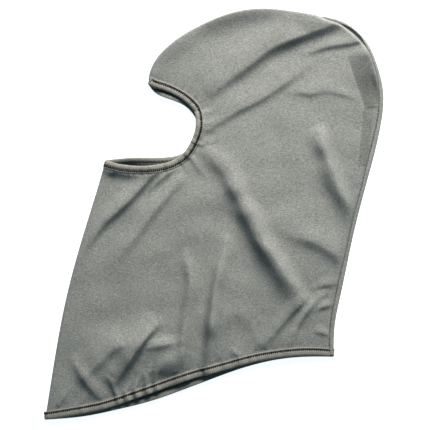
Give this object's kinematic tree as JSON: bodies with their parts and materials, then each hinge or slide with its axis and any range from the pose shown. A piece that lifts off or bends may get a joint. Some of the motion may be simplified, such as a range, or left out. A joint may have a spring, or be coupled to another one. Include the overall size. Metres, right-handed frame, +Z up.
{
  "type": "balaclava",
  "caption": "Thin knitted full-head balaclava laid flat on its side, with bound face opening and neck hem.",
  "frame": {"origin": "centre of the footprint on the surface the garment lies on", "axes": "+Z up through the two layers of fabric, +Y towards the crown, -Y towards the neck hem, -X towards the face, so the garment lies on its right side"},
  "size_m": [0.3568, 0.4329, 0.0134],
  "materials": {
    "knit": "fine jersey knit, slightly satin",
    "binding": "folded jersey strip",
    "elastic": "matt flat elastic",
    "thread": "textured polyester thread"
  },
  "bodies": {
    "root": {"left_side_panel": "knit", "right_side_panel": "knit", "hem_binding": "binding", "face_opening_binding": "binding", "face_opening_elastic": "elastic", "hem_needle_thread": "thread", "hem_looper_thread": "thread", "face_binding_needle_thread": "thread", "face_binding_looper_thread": "thread", "crown_back_seam_thread": "thread", "crown_back_overlock_thread": "thread", "front_seam_thread": "thread", "front_overlock_thread": "thread", "hem_join_bar_tack": "thread"}
  },
  "joints": []
}
